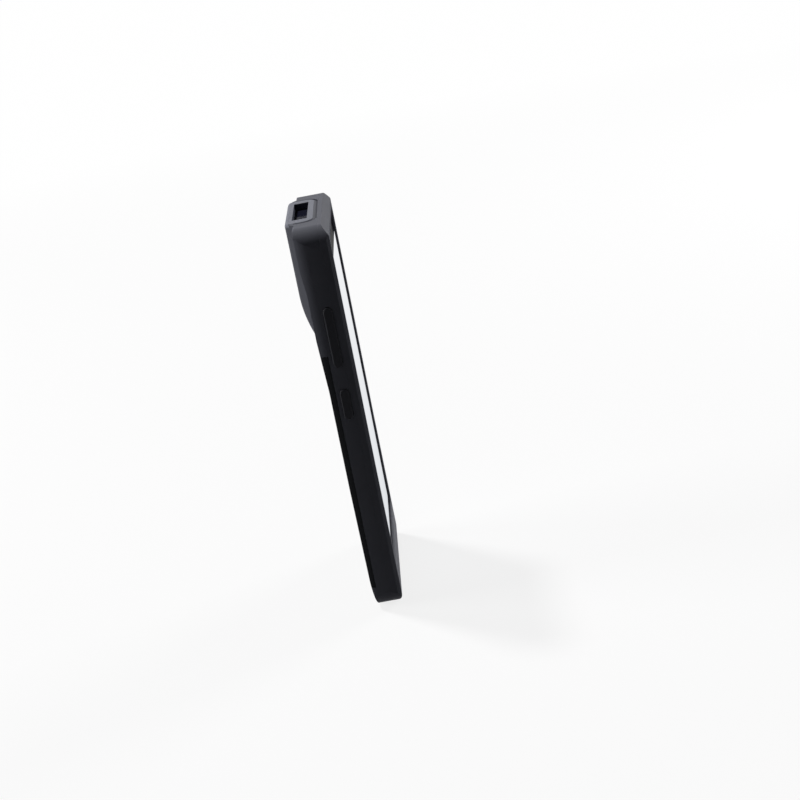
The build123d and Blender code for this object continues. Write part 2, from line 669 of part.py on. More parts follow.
def battery_connector():
    """The sprung blade connector in the top wall of the battery bay."""
    body = block(-6.0, 6.0, -1.9, 1.0, 108.0, 114.4)
    for step in range(-2, 3):
        x = step * CONTACT_PITCH
        body += block(x - 0.35, x + 0.35, -0.9, 0.1, BATTERY_Z1 + 0.4, 108.0)
    return body


def side_switches():
    """The dome switches behind the side keys."""
    switches = None
    places = [(-1, SCAN_KEY_Z), (1, SCAN_KEY_Z), (1, POWER_Z)]
    places += [(-1, VOLUME_Z - ROCKER_REACH), (-1, VOLUME_Z + ROCKER_REACH)]
    for side, z in places:
        x0 = side * (KEY_POCKET_X0 + 0.3)
        x1 = side * (KEY_POCKET_X0 + 1.5)
        switch = block(min(x0, x1), max(x0, x1), KEY_Y - 1.6, KEY_Y + 1.6, z - 2.0, z + 2.0)
        tip = side * SWITCH_TIP_X
        switch += block(min(x1, tip), max(x1, tip), KEY_Y - 0.8, KEY_Y + 0.8, z - 0.8, z + 0.8)
        switches = switch if switches is None else switches + switch
    return switches


def key_flex():
    """The flexible circuits that carry the dome switches."""
    strip = block(KEY_POCKET_X0 + 0.1, KEY_POCKET_X0 + 0.3, KEY_Y - 1.8, KEY_Y + 1.8, 82.0, 130.0)
    return both_sides(strip)


def card_holder():
    """The SIM and memory card holder on the main board."""
    return block(15.0, 29.0, MAIN_BOARD_Y, -0.6, 138.0, 149.0)


def board_flex():
    """The flat cable from the main board down to the small board, under the battery bay."""
    return block(20.0, 27.0, -2.88, -2.76, 12.0, 116.0)


def battery_gasket():
    """The rubber seal round the battery bay."""
    y0 = COVER_SPLIT_Y
    ring = plate(BAY_W + 4.0, BAY_Z0 - 2.0, BAY_Z1 + 2.0, y0, y0 + 0.75, 4.0)
    half = BAY_W / 2 + 0.8
    return ring - block(-half, half, y0 - 1, y0 + 2, BAY_Z0 - 0.8, BAY_Z1 + 0.8)


def screw(x, z):
    """A small machine screw with a hexagonal drive, standing along Y."""
    body = fine_rod_y(x, z, SCREW_TIP_Y + 0.1, SCREW_SEAT_Y, SCREW_R - 0.1, 8)
    head = fine_rod_y(x, z, SCREW_SEAT_Y, SCREW_SEAT_Y + SCREW_HEAD_T, SCREW_HEAD_R)
    drive = Pos(x, SCREW_SEAT_Y + 2, z) * (Plane.XZ * RegularPolygon(0.8, 6))
    return body + head - extrude(drive, 1.4)


def housing_screws():
    """The six screws that hold the housing together."""
    screws = None
    for x, z in screw_places():
        one = screw(x, z)
        screws = one if screws is None else screws + one
    return screws


# ---- battery, its cover and the latch ----------------------------------------------------
def battery_cover():
    """The lift-off back cover: a shallow tray whose rim forms the lower back edges."""
    region = block(-HALF - 1, HALF + 1, COVER_SPLIT_Y + 0.1, POD_Y, COVER_Z0, COVER_Z1)
    cover = FORM & region
    cover -= plate(WIDTH - 3.8, COVER_Z0 + 1.6, COVER_Z1 - 1.6, COVER_SPLIT_Y - 1, BACK_Y - COVER_T, 3.0)
    # finger notch in the lower edge
    cover -= Pos(16.0, COVER_SPLIT_Y + 2.4, COVER_Z0 - 2.2) * Sphere(3.6)
    # thick land with the sunk seat and slot of the latch
    land = block(-10.0, 10.0, COVER_SPLIT_Y + 0.1, BACK_Y, COVER_Z0 + 1.0, BAY_Z0 - 2.4)
    cover += FORM & land
    seat_z0 = LATCH_Z - LATCH_PAD_H / 2 - LATCH_TRAVEL - 0.3
    seat_z1 = LATCH_Z + LATCH_PAD_H / 2 + 0.3
    cover -= plate(LATCH_PAD_W + 0.6, seat_z0, seat_z1, LATCH_PAD_Y - 0.1, POD_Y, 1.4)
    neck_half = LATCH_NECK_W / 2 + 0.2
    neck_z0 = LATCH_Z - LATCH_NECK_H / 2 - LATCH_TRAVEL - 0.2
    neck_z1 = LATCH_Z + LATCH_NECK_H / 2 + 0.2
    return cover - block(-neck_half, neck_half, 0, POD_Y, neck_z0, neck_z1)


def cover_latch():
    """The sliding latch: a ribbed thumb pad, a neck through the cover and a tongue below."""
    pad_z0 = LATCH_Z - LATCH_PAD_H / 2
    pad = plate(LATCH_PAD_W, pad_z0, pad_z0 + LATCH_PAD_H, LATCH_PAD_Y, LATCH_PAD_Y + LATCH_PAD_T, 1.2)
    for step in range(-2, 3):
        groove = LATCH_Z + step * 0.95
        pad -= block(-4.6, 4.6, LATCH_PAD_Y + LATCH_PAD_T - 0.25, POD_Y, groove - 0.22, groove + 0.22)
    neck_half = LATCH_NECK_W / 2
    neck_z0 = LATCH_Z - LATCH_NECK_H / 2
    neck = block(-neck_half, neck_half, TONGUE_Y1 - 0.2, LATCH_PAD_Y + 0.1, neck_z0, neck_z0 + LATCH_NECK_H)
    return pad + neck + block(-TONGUE_W / 2, TONGUE_W / 2, TONGUE_Y0, TONGUE_Y1, TONGUE_Z0, TONGUE_Z1)


def battery_pack():
    """The removable battery, with a notch for its contacts at the top end."""
    pack = plate(BATTERY_W, BATTERY_Z0, BATTERY_Z1, BATTERY_Y0, BATTERY_Y1, 1.8)
    pack = chamfer(pack.faces().sort_by(Axis.Y)[-1].edges(), 0.4)
    pack -= block(-6.6, 6.6, BATTERY_Y0 - 1, BATTERY_Y1 + 1, BATTERY_Z1 - 1.2, BATTERY_Z1 + 1)
    return pack


def battery_pads():
    """The battery's contact pads."""
    pads = None
    for step in range(-2, 3):
        x = step * CONTACT_PITCH
        pad = block(x - 0.6, x + 0.6, -1.2, 0.6, BATTERY_Z1 - 1.2, BATTERY_Z1 - 1.0)
        pads = pad if pads is None else pads + pad
    return pads


# ---- side keys ---------------------------------------------------------------------------
def side_key(z, length, flange_gap, stems):
    """A key for the right-hand side: bevelled cap, inner flange, and stems for its switches."""
    flange_x1 = HALF - WALL - flange_gap
    flange_x0 = flange_x1 - FLANGE_T
    cap = stadium_x(flange_x0, HALF + KEY_PROUD, KEY_Y, z, KEY_W, length)
    cap = chamfer(cap.faces().sort_by(Axis.X)[-1].edges(), 0.4)
    half_w = KEY_W / 2 + FLANGE_LIP
    half_l = length / 2 + FLANGE_LIP
    key = cap + block(flange_x0, flange_x1, KEY_Y - half_w, KEY_Y + half_w, z - half_l, z + half_l)
    for stem_z in stems:
        key += block(STEM_X, flange_x0 + 0.1, KEY_Y - 1.0, KEY_Y + 1.0, stem_z - 1.0, stem_z + 1.0)
    return key


def scan_key():
    """A scan key for the right-hand side."""
    return side_key(SCAN_KEY_Z, SCAN_KEY_L, 0.1, [SCAN_KEY_Z])


def power_key():
    """The power key on the right-hand side."""
    return side_key(POWER_Z, POWER_L, 0.1, [POWER_Z])


def volume_key():
    """The volume rocker on the left-hand side, with a stem for each of its switches."""
    key = side_key(VOLUME_Z, VOLUME_L, 0.4, [VOLUME_Z - ROCKER_REACH, VOLUME_Z + ROCKER_REACH])
    return mirror(key, about=Plane.YZ)


# ---- export ------------------------------------------------------------------------------
housing = rear_housing()
for hand in (-1, 1):
    housing += top_screw_boss(hand)

NODES = {
    "front_bezel": front_bezel(),
    "rear_housing": housing,
    "cover_glass": cover_glass(),
    "glass_seal": glass_seal(),
    "display_panel": display_panel(),
    "chassis_plate": chassis_plate(),
    "earpiece_mesh": earpiece_mesh(),
    "receiver": receiver(),
    "front_camera": front_camera(),
    "status_light": status_light(),
    "window_frame": window_frame(),
    "scan_window": scan_window(),
    "window_seal": window_seal(),
    "scan_engine": scan_engine(),
    "imager_lens": imager_lens(),
    "aimer_lens": aimer_lens(),
    "illumination_leds": illumination_leds(),
    "engine_bracket": engine_bracket(),
    "rear_camera": rear_camera(),
    "camera_window": camera_window(),
    "flash_lens": flash_lens(),
    "main_board": main_board(),
    "shield_cans": shield_cans(),
    "card_holder": card_holder(),
    "vibration_motor": vibration_motor(),
    "battery_connector": battery_connector(),
    "side_switches": side_switches(),
    "key_flex": key_flex(),
    "board_flex": board_flex(),
    "sub_board": sub_board(),
    "usb_socket": usb_socket(),
    "dock_contacts": dock_contacts(),
    "loudspeaker": loudspeaker(),
    "microphone": microphone(),
    "battery_gasket": battery_gasket(),
    "housing_screws": housing_screws(),
    "battery_cover": battery_cover(),
    "cover_latch": cover_latch(),
    "battery_pack": battery_pack(),
    "battery_pads": battery_pads(),
    "left_scan_key": mirror(scan_key(), about=Plane.YZ),
    "right_scan_key": scan_key(),
    "volume_key": volume_key(),
    "power_key": power_key(),
}

for name, shape in NODES.items():
    export_step(shape, f"parts/{name}.step")
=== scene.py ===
import json
import math

import bmesh
import bpy
from mathutils import Matrix, Vector


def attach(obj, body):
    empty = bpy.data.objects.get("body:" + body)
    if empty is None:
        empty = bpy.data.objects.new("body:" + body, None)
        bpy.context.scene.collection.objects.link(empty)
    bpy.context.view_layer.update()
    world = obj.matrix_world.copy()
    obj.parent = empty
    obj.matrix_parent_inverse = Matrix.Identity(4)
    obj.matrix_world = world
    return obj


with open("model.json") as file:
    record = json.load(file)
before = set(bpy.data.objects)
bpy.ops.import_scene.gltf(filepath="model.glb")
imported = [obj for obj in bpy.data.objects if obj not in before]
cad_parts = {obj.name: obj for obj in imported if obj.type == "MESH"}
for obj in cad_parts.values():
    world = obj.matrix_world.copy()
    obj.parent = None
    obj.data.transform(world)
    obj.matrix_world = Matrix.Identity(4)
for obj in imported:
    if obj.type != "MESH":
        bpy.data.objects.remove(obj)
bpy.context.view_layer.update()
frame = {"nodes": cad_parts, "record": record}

# A handheld barcode data terminal, standing on its bottom end. Metres throughout.
# +Z runs up the handset, the screen faces -Y and the user's left side is -X.
MM = 0.001
BODY_MIDDLE = Vector((0, 0, 81.5 * MM))

# ---- camera ------------------------------------------------------------------------------
IMAGE_SIDE = 800
FOCAL_PIXELS = 1538.3
SENSOR = 36.0
CLIP_START = 0.01
CAMERA_AZIMUTH = math.radians(-88.49)
CAMERA_ELEVATION = math.radians(18.776)
CAMERA_ROLL = math.radians(-10.98)
CAMERA_DISTANCE = 650.14 * MM
CAMERA_SIDEWAYS = 21.277 * MM
CAMERA_UPWAYS = -1.577 * MM


def make_camera():
    """The camera: looks at the handset's left side from slightly above, rolled so that it leans."""
    level = math.cos(CAMERA_ELEVATION)
    back = Vector((
        math.sin(CAMERA_AZIMUTH) * level,
        -math.cos(CAMERA_AZIMUTH) * level,
        math.sin(CAMERA_ELEVATION),
    ))
    right = Vector((0, 0, 1)).cross(back).normalized()
    up = back.cross(right)
    rolled_right = right * math.cos(CAMERA_ROLL) + up * math.sin(CAMERA_ROLL)
    rolled_up = up * math.cos(CAMERA_ROLL) - right * math.sin(CAMERA_ROLL)
    place = BODY_MIDDLE + back * CAMERA_DISTANCE
    place += rolled_right * CAMERA_SIDEWAYS + rolled_up * CAMERA_UPWAYS
    turn = Matrix((rolled_right, rolled_up, back)).transposed()
    data = bpy.data.cameras.new("camera")
    data.sensor_width = SENSOR
    data.lens = FOCAL_PIXELS * SENSOR / IMAGE_SIDE
    data.clip_start = CLIP_START
    camera = bpy.data.objects.new("camera", data)
    bpy.context.scene.collection.objects.link(camera)
    camera.matrix_world = Matrix.Translation(place) @ turn.to_4x4()
    bpy.context.scene.camera = camera


# ---- small node helpers ------------------------------------------------------------------
BEVEL_SAMPLES = 4
EDGE_STARTS = 0.995          # the bevelled normal against the true one, as a cosine
EDGE_FULL = 0.85
NOISE_RANGE = (0.3, 0.7)     # nearly all of a noise's values lie in here
WHITE = (1.0, 1.0, 1.0)


def new_material(name):
    """An empty node material, and its tree."""
    material = bpy.data.materials.new(name)
    material.use_nodes = True
    material.node_tree.nodes.clear()
    return material, material.node_tree


def give(tree, value, socket):
    """An input gets a link from another socket, a colour of three parts, or a number."""
    if isinstance(value, bpy.types.NodeSocket):
        tree.links.new(value, socket)
    elif isinstance(value, tuple):
        socket.default_value = (*value, 1.0)
    else:
        socket.default_value = value


def add_node(tree, kind, **inputs):
    """A node with its inputs given by name, where _ stands for a space. Returns its first output."""
    node = tree.nodes.new(f"ShaderNode{kind}")
    for name, value in inputs.items():
        give(tree, value, node.inputs[name.replace("_", " ")])
    return node.outputs[0]


def show_on_surface(tree, shader, output_kind="ShaderNodeOutputMaterial"):
    """A shader becomes what the surface, or the world, shows."""
    output = tree.nodes.new(output_kind)
    tree.links.new(shader, output.inputs["Surface"])


def object_axes(tree):
    """The X, Y and Z sockets of Object coordinates."""
    coordinates = tree.nodes.new("ShaderNodeTexCoord")
    split = tree.nodes.new("ShaderNodeSeparateXYZ")
    tree.links.new(coordinates.outputs["Object"], split.inputs["Vector"])
    return split.outputs["X"], split.outputs["Y"], split.outputs["Z"]


def noise(tree, scale, detail=3.0, roughness=0.5):
    """Noise on Object coordinates, with so many waves to the metre."""
    coordinates = tree.nodes.new("ShaderNodeTexCoord")
    where = coordinates.outputs["Object"]
    return add_node(tree, "TexNoise", Vector=where, Scale=scale, Detail=detail, Roughness=roughness)


def remap(tree, value, low, high, to_low, to_high):
    """A value moved from one range to another, and held inside it."""
    return add_node(
        tree, "MapRange", Value=value, From_Min=low, From_Max=high, To_Min=to_low, To_Max=to_high
    )


def maths(tree, operation, *values):
    """One arithmetic node. Each value may be a socket or a number."""
    node = tree.nodes.new("ShaderNodeMath")
    node.operation = operation
    for value, socket in zip(values, node.inputs):
        give(tree, value, socket)
    return node.outputs["Value"]


def mix_colours(tree, factor, first, second):
    """Two colours mixed by a socket. Each colour may be a socket or three parts."""
    node = tree.nodes.new("ShaderNodeMix")
    node.data_type = "RGBA"
    for value, name in ((factor, "Factor"), (first, "A"), (second, "B")):
        give(tree, value, node.inputs[name])
    return node.outputs["Result"]


def mix_shaders(tree, factor, first, second):
    """Two shaders mixed by a socket or a number."""
    node = tree.nodes.new("ShaderNodeMixShader")
    for value, socket in zip((factor, first, second), node.inputs):
        give(tree, value, socket)
    return node.outputs["Shader"]


def bevelled_normal(tree, radius):
    """The normal that a surface has when its edges are rounded off by a radius."""
    bevel = tree.nodes.new("ShaderNodeBevel")
    bevel.samples = BEVEL_SAMPLES
    bevel.inputs["Radius"].default_value = radius
    return bevel.outputs["Normal"]


def edge_mask(tree, radius):
    """Where a convex or concave edge runs: 0 on a flat, towards 1 on the edge."""
    geometry = tree.nodes.new("ShaderNodeNewGeometry")
    dot = tree.nodes.new("ShaderNodeVectorMath")
    dot.operation = "DOT_PRODUCT"
    tree.links.new(bevelled_normal(tree, radius), dot.inputs[0])
    tree.links.new(geometry.outputs["Normal"], dot.inputs[1])
    return remap(tree, dot.outputs["Value"], EDGE_STARTS, EDGE_FULL, 0.0, 1.0)


def inside_rectangle(tree, across, along, centre, half_across, half_along, soft):
    """1 inside a rectangle, 0 outside it, with a narrow soft edge."""
    from_side = maths(tree, "SUBTRACT", half_across, maths(tree, "ABSOLUTE", across))
    offset = maths(tree, "SUBTRACT", along, centre)
    from_end = maths(tree, "SUBTRACT", half_along, maths(tree, "ABSOLUTE", offset))
    return remap(tree, maths(tree, "MINIMUM", from_side, from_end), 0.0, soft, 0.0, 1.0)


def distance_from(tree, across, along, across_spot=0.0, along_spot=0.0):
    """How far a point lies from a spot, in the plane of two axes."""
    squares = []
    for axis, spot in ((across, across_spot), (along, along_spot)):
        step = maths(tree, "SUBTRACT", axis, spot)
        squares.append(maths(tree, "MULTIPLY", step, step))
    return maths(tree, "SQRT", maths(tree, "ADD", *squares))


def inside_circle(tree, across, along, spot, radius, soft):
    """1 inside a circle in the front view, 0 outside it."""
    return remap(tree, distance_from(tree, across, along, spot.x, spot.z), radius - soft, radius, 1.0, 0.0)


def seeing_rays(tree):
    """Whether a ray is the camera's, and whether it is that or one sent on by gloss or glass."""
    path = tree.nodes.new("ShaderNodeLightPath")
    camera_ray = path.outputs["Is Camera Ray"]
    seen = maths(tree, "MAXIMUM", camera_ray, path.outputs["Is Glossy Ray"])
    return camera_ray, maths(tree, "MAXIMUM", seen, path.outputs["Is Transmission Ray"])


# ---- moulded plastic and plain finishes --------------------------------------------------
SLATE = (0.083, 0.086, 0.106)
COVER_SLATE = (0.016, 0.017, 0.020)
FRAME_GREY = (0.178, 0.184, 0.220)
KEY_SLATE = (0.030, 0.031, 0.038)
# painted shade for the walls of the scan opening in the window frame
OPENING_WALL_SHADE = (0.075, 0.080, 0.110)
CLOUDS = 60.0                # waves to the metre
CLOUD_SPREAD = 0.07          # how far the clouds go from the plastic's own colour, as a share of it
GRAIN_DEPTH = 0.02 * MM
GRAIN_STRENGTH = 0.5
GRAIN_RANGE = (0.2, 0.8)
ROUGHNESS_SPREAD = 0.08      # how far the grain moves a moulded roughness
ROUGHNESS_SHARE = 0.15       # how far a plain finish's roughness moves, as a share of it
EDGE_SOFTENING = 0.25 * MM   # the radius to which moulded edges look rounded


def tint(colour, share):
    """A colour made darker or paler by a share."""
    return tuple(share * part for part in colour)


def moulded_plastic(name, colour, roughness, grain=0.25 * MM, gloss=0.25, wear=0.15, painted_shade_zones=None):
    """Moulded plastic: a spark-eroded grain, faint clouding, and paler rubbed edges."""
    material, tree = new_material(name)
    clouds = remap(tree, noise(tree, CLOUDS, detail=4.0), *NOISE_RANGE, 0.0, 1.0)
    cloudy = mix_colours(tree, clouds, tint(colour, 1 - CLOUD_SPREAD), tint(colour, 1 + CLOUD_SPREAD))
    worn = mix_colours(tree, edge_mask(tree, EDGE_SOFTENING), cloudy, tint(colour, 1 + wear))
    fine = noise(tree, 1 / grain, detail=2.0, roughness=0.6)
    smooth, rough = roughness - ROUGHNESS_SPREAD, roughness + ROUGHNESS_SPREAD
    rounded = bevelled_normal(tree, EDGE_SOFTENING)
    grained = add_node(
        tree, "Bump", Strength=GRAIN_STRENGTH, Distance=GRAIN_DEPTH, Height=fine, Normal=rounded
    )
    shader = add_node(
        tree, "BsdfPrincipled",
        # painted_shade_zones, where given, paints shade into the colour
        Base_Color=painted_shade_zones(tree, worn) if painted_shade_zones else worn,
        Roughness=remap(tree, fine, *GRAIN_RANGE, smooth, rough),
        Specular_IOR_Level=gloss,
        Normal=grained,
    )
    show_on_surface(tree, shader)
    return material


def simple_finish(name, colour, roughness, metallic=0.0, gloss=0.5, grain=0.4 * MM, vary=0.1):
    """A plain finish with fine variation in colour and roughness."""
    material, tree = new_material(name)
    spread = noise(tree, 1 / grain)
    smooth, rough = roughness * (1 - ROUGHNESS_SHARE), roughness * (1 + ROUGHNESS_SHARE)
    shader = add_node(
        tree, "BsdfPrincipled",
        Base_Color=mix_colours(tree, spread, tint(colour, 1 - vary), tint(colour, 1 + vary)),
        Metallic=metallic,
        Roughness=remap(tree, spread, *NOISE_RANGE, smooth, rough),
        Specular_IOR_Level=gloss,
    )
    show_on_surface(tree, shader)
    return material


# ---- the window frame's painted shade ----------------------------------------------------
FRAME_TOP_Z = 163.1 * MM
FRAME_FACE_SKIN = 0.05 * MM  # only this skin of the frame's top face keeps its grey
FRAME_FACE_BLEND = 0.04 * MM
FLANK_BACK_Y = 6.7 * MM      # behind this depth the frame keeps its own grey down to its edge; in front of it the flanks get painted shade
FLANK_BLEND = 0.6 * MM
FLANK_PAINTED_SHADE = 0.9            # the flanks' painted shade, as a share of the housing's colour
OPENING_HALF = 16.1 * MM     # the opening, with 0.1 mm round it so that its walls lie inside
OPENING_HALF_Y = 3.15 * MM
OPENING_MIDDLE_Y = 4.55 * MM
OPENING_BLEND = 0.01 * MM


def frame_painted_shade(tree, grey):
    """Painted shade: the window frame's flanks in front are painted as dark as the housing, and the walls of
    its opening dark blue-black.
    """
    across, depth, along = object_axes(tree)
    skin = FRAME_TOP_Z - FRAME_FACE_SKIN
    below = remap(tree, along, skin, skin + FRAME_FACE_BLEND, 1.0, 0.0)
    in_front = remap(tree, depth, FLANK_BACK_Y, FLANK_BACK_Y + FLANK_BLEND, 1.0, 0.0)
    # painted shade on the flanks below the top face and in front of FLANK_BACK_Y, which are turned from the
    # light
    flank_shade_mask = maths(tree, "MULTIPLY", below, in_front)
    # painted shade on the walls of the opening, below the frame's top face
    hole = inside_rectangle(
        tree, across, depth, OPENING_MIDDLE_Y, OPENING_HALF, OPENING_HALF_Y, OPENING_BLEND
    )
    shaded_flanks = mix_colours(tree, flank_shade_mask, grey, tint(SLATE, FLANK_PAINTED_SHADE))
    return mix_colours(tree, maths(tree, "MULTIPLY", hole, below), shaded_flanks, OPENING_WALL_SHADE)


# ---- glass -------------------------------------------------------------------------------
CAMERA_ROW_Z = 139.0         # millimetres, as the two places across
REAR_CAMERA_X = -7.0
FLASH_X = 4.5
SCREEN_MIDDLE_Z = 83.5 * MM
SCREEN_HALF_WIDTH = 31.24 * MM
SCREEN_HALF_LENGTH = 62.48 * MM
# painted shade: the lit picture is painted dimmer at its bottom than at its top
PICTURE_BOTTOM = (0.76, 0.78, 0.81)
PICTURE_TOP = (0.92, 0.93, 0.95)
SCREEN_MIRRORS = 0.04        # how much of the lit screen's light is a reflection
FRONT_LENS = Vector((-14.0, 0, 152.9)) * MM
FRONT_LENS_RADIUS = 1.25 * MM
STATUS_SPOT = Vector((13.0, 0, 152.8)) * MM
STATUS_SPOT_RADIUS = 0.6 * MM
REAR_LENS = Vector((REAR_CAMERA_X, 0, CAMERA_ROW_Z)) * MM
REAR_LENS_RADIUS = 2.7 * MM
PRINT_EDGE = 0.06 * MM
GLASS_IOR = 1.5
INK_SPECKLE = 4000.0         # waves to the metre, as the next three
FRONT_SMEAR = 40.0
REAR_SMEAR = 300.0
WINDOW_HAZE = 500.0
FRONT_INK = (0.004, 0.004, 0.0045), (0.006, 0.006, 0.007)
REAR_INK = (0.005, 0.005, 0.006), (0.008, 0.008, 0.009)
WINDOW_TINT = (0.040, 0.042, 0.085), (0.055, 0.058, 0.105)
FRONT_POLISH = (0.02, 0.035)
REAR_POLISH = (0.02, 0.05)
WINDOW_POLISH = (0.04, 0.08)
WINDOW_SEEN_THROUGH = (0.30, 0.30, 0.42)
WINDOW_BODY = 0.35           # how much of the scan window's light its own tint gives
WINDOW_COATING = 0.15        # how much the coated window mirrors, as a share of plain glass


def fresnel(tree, share=1.0):
    """How much a polished outer face mirrors: little straight on, most of it at a grazing angle."""
    geometry = tree.nodes.new("ShaderNodeNewGeometry")
    outer = maths(tree, "SUBTRACT", share, maths(tree, "MULTIPLY", share, geometry.outputs["Backfacing"]))
    return maths(tree, "MULTIPLY", add_node(tree, "Fresnel", IOR=GLASS_IOR), outer)


def printed_ink(tree, dark, pale):
    """Black ink on the back of a glass, faintly speckled."""
    speckle = noise(tree, INK_SPECKLE, detail=1.0)
    return add_node(tree, "BsdfDiffuse", Color=mix_colours(tree, speckle, dark, pale))


def polish(tree, smear, smooth, rough):
    """A polished face, smeared a little by a noise."""
    return add_node(tree, "BsdfGlossy", Roughness=remap(tree, smear, *NOISE_RANGE, smooth, rough))


def printed_glass():
    """The front glass: printed black round a bonded display, whose lit picture shows in the glass's face."""
    material, tree = new_material("printed_front_glass")
    across, _, along = object_axes(tree)
    lit = inside_rectangle(
        tree, across, along, SCREEN_MIDDLE_Z, SCREEN_HALF_WIDTH, SCREEN_HALF_LENGTH, PRINT_EDGE
    )
    low, high = SCREEN_MIDDLE_Z - SCREEN_HALF_LENGTH, SCREEN_MIDDLE_Z + SCREEN_HALF_LENGTH
    # painted shade: the picture's colour rises from the dimmer bottom to the top
    rise = remap(tree, along, low, high, 0.0, 1.0)
    picture = add_node(tree, "Emission", Color=mix_colours(tree, rise, PICTURE_BOTTOM, PICTURE_TOP))
    lens = inside_circle(tree, across, along, FRONT_LENS, FRONT_LENS_RADIUS, PRINT_EDGE)
    spot = inside_circle(tree, across, along, STATUS_SPOT, STATUS_SPOT_RADIUS, PRINT_EDGE)
    ink = printed_ink(tree, *FRONT_INK)
    clear = add_node(tree, "BsdfTransparent")
    gloss = polish(tree, noise(tree, FRONT_SMEAR, detail=2.0), *FRONT_POLISH)
    printing = mix_shaders(tree, maths(tree, "MAXIMUM", lens, spot), ink, clear)
    border = mix_shaders(tree, fresnel(tree), printing, gloss)
    screen = mix_shaders(tree, SCREEN_MIRRORS, picture, gloss)
    show_on_surface(tree, mix_shaders(tree, lit, border, screen))
    return material


def tinted_glass():
    """The scan window: dark tinted, with a coating that mirrors little."""
    material, tree = new_material("tinted_window")
    haze = noise(tree, WINDOW_HAZE, detail=2.0)
    see_through = add_node(tree, "BsdfTransparent", Color=WINDOW_SEEN_THROUGH)
    tinted = add_node(tree, "BsdfDiffuse", Color=mix_colours(tree, haze, *WINDOW_TINT))
    body = mix_shaders(tree, WINDOW_BODY, see_through, tinted)
    gloss = polish(tree, haze, *WINDOW_POLISH)
    show_on_surface(tree, mix_shaders(tree, fresnel(tree, WINDOW_COATING), body, gloss))
    return material


def camera_glass():
    """The rear camera's window: clear in the middle, with a printed black ring round it."""
    material, tree = new_material("camera_glass")
    across, _, along = object_axes(tree)
    clear = inside_circle(tree, across, along, REAR_LENS, REAR_LENS_RADIUS, PRINT_EDGE)
    ink = printed_ink(tree, *REAR_INK)
    behind = mix_shaders(tree, clear, ink, add_node(tree, "BsdfTransparent"))
    gloss = polish(tree, noise(tree, REAR_SMEAR, detail=2.0), *REAR_POLISH)
    show_on_surface(tree, mix_shaders(tree, fresnel(tree), behind, gloss))
    return material


# ---- which finish goes where -------------------------------------------------------------
MATERIALS = {
    "housing": moulded_plastic("slate_housing", SLATE, 0.62, gloss=0.2),
    "cover_plastic": moulded_plastic(
        "slate_cover", COVER_SLATE, 0.75, grain=0.35 * MM, gloss=0.12, wear=0.1
    ),
    # the window frame carries painted shade on its front flanks and the walls of its opening
    "frame_grey": moulded_plastic(
        "grey_window_frame", FRAME_GREY, 0.55, gloss=0.15, wear=0.1, painted_shade_zones=frame_painted_shade
    ),
    "front_glass": printed_glass(),
    "display": simple_finish("display_stack", (0.02, 0.02, 0.023), 0.3),
    "seal_rubber": simple_finish("seal_rubber", (0.012, 0.012, 0.012), 0.8, gloss=0.2),
    "chassis": simple_finish("magnesium_chassis", (0.5, 0.51, 0.53), 0.45, metallic=1.0),
    "mesh": simple_finish("black_mesh", (0.02, 0.02, 0.022), 0.5, metallic=0.6),
    "black_plastic": simple_finish("black_moulding", (0.015, 0.015, 0.017), 0.5),
    "clear_plastic": simple_finish("frosted_light", (0.7, 0.71, 0.66), 0.4),
    "tinted_window": tinted_glass(),
    "lens_glass": simple_finish("lens_glass", (0.006, 0.007, 0.016), 0.05, gloss=0.6),
    "circuit_board": simple_finish("circuit_board", (0.01, 0.08, 0.04), 0.4),
    "shield": simple_finish("tinned_shield", (0.55, 0.55, 0.54), 0.35, metallic=1.0),
    "flex": simple_finish("polyimide_flex", (0.3, 0.14, 0.03), 0.4),
    "gold": simple_finish("gold_plate", (0.78, 0.55, 0.2), 0.25, metallic=1.0),
    "screw_steel": simple_finish("black_zinc", (0.06, 0.06, 0.065), 0.4, metallic=1.0),
    "battery_wrap": simple_finish("battery_wrap", (0.03, 0.03, 0.034), 0.5),
    "key_plastic": moulded_plastic("slate_key", KEY_SLATE, 0.6, gloss=0.15, wear=0.0),
}
NODE_MATERIALS = {"camera_window": camera_glass()}
LENS_BARREL = simple_finish("anodised_lens_ring", (0.045, 0.045, 0.05), 0.3, metallic=1.0)
COATED_LENS = simple_finish("coated_lens", (0.010, 0.008, 0.030), 0.04, gloss=0.9)
LIGHT_LENS = simple_finish("moulded_light_lens", (0.78, 0.76, 0.62), 0.18, gloss=0.6, vary=0.04)


def dress_cad_nodes():
    """Each CAD node shows the finish of its slot in the record, or a finish of its own."""
    slots = {row["node"]: row["material_slot"] for row in frame["record"]["subparts"]}
    for name, node in frame["nodes"].items():
        node.data.materials.clear()
        node.data.materials.append(NODE_MATERIALS.get(name, MATERIALS[slots[name]]))


# ---- fine pieces: every size here is in millimetres --------------------------------------
HOUSING_BODY = "terminal"
ROUND_STEPS = 48
RING_STEPS = 64
DOME_STEPS = 8
MERGE_DISTANCE = 0.0005
BARREL_TOP_Y = 9.0
REAR_RING = [
    (1.3, 0.0), (2.95, 0.0), (2.95, 0.17), (2.55, 0.17), (2.45, 0.08), (2.1, 0.08),
    (2.05, 0.14), (1.75, 0.14), (1.7, 0.05), (1.3, 0.05), (1.3, 0.0),
]
FLASH_TOP_Y = 10.25
FLASH_RING_COUNT = 5
FLASH_RING_WIDTH = 0.32
FLASH_RING_HEIGHT = 0.07
FLASH_RING_SLOPE = 0.1
FLASH_GROOVE_HEIGHT = 0.02
FLASH_BASE_HEIGHT = -0.02
ENGINE_ROW_Y = 4.6
ENGINE_FACE_Z = 157.9
IMAGER_X = 3.4
AIMER_X = -3.6
LEFT_LIGHT_X = -8.2
RIGHT_LIGHT_X = 8.6
IMAGER_RING = [(2.2, 0.6), (2.9, 0.6), (2.9, 0.85), (2.5, 0.85), (2.3, 0.7), (2.2, 0.7), (2.2, 0.6)]


